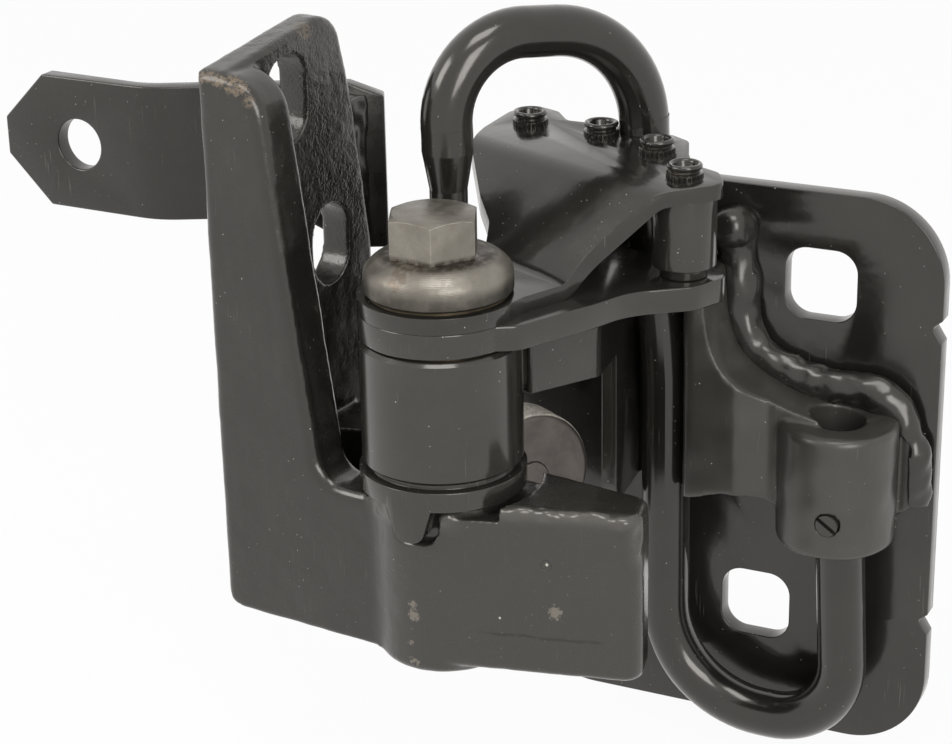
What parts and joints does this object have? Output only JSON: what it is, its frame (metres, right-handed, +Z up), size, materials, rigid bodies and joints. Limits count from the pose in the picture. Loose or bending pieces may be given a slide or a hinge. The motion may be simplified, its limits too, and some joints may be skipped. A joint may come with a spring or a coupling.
{
  "type": "car door hinge",
  "caption": "Car door hinge with a cast pillar bracket, swan-neck leaf cage, flat door plate and torsion-rod door check.",
  "frame": {"origin": "on the pillar bracket's mounting face, midway between its two slots", "axes": "+Z up along the hinge pin, -X out of the mounting face towards the pillar, +Y towards the door plate"},
  "size_m": [0.2027, 0.0993, 0.172],
  "materials": {
    "cast_coat": "satin black over cast skin",
    "strap_coat": "satin black with a worn bend",
    "gloss_coat": "gloss black",
    "rod_coat": "gloss black over spring steel",
    "bare_steel": "bare, lightly oxidised",
    "worn_steel": "bare, greased and worn",
    "bush_metal": "sintered"
  },
  "bodies": {
    "pillar": {"pillar_bracket": "cast_coat", "stay_strap": "strap_coat", "strap_weld": "cast_coat", "hinge_pin": "bare_steel", "lug_ring": "gloss_coat", "cam_sleeve": "gloss_coat", "thrust_washer": "bush_metal", "stop_disc": "worn_steel", "stop_disc_stud": "worn_steel"},
    "door": {"door_plate": "gloss_coat", "lower_leaf": "gloss_coat", "upper_leaf": "gloss_coat", "eye_bush": "bush_metal", "leaf_spacers": "gloss_coat", "leaf_rivets": "gloss_coat", "leaf_web": "gloss_coat", "leaf_weld": "gloss_coat", "console": "gloss_coat", "console_weld": "gloss_coat", "torsion_rod": "rod_coat", "cross_pin": "gloss_coat", "roller_clip": "bare_steel"},
    "roller": {"follower_roller": "worn_steel", "roller_bush": "bush_metal"}
  },
  "joints": [
    {"name": "door_hinge", "type": "hinge", "parent": "pillar", "child": "door", "pos_m": [0.0505, -0.0165, -0.04175], "axis": [0, 0, 1], "range_deg": [-76, 4]},
    {"name": "roller_spin", "type": "hinge", "parent": "door", "child": "roller", "pos_m": [0.03934, 0.00475, -0.03595], "axis": [0, 0, 1], "range_deg": [-184, 12]}
  ],
  "couplings": [
    {"joint": "roller_spin", "follows": "door_hinge", "ratio": 2.3857}
  ]
}
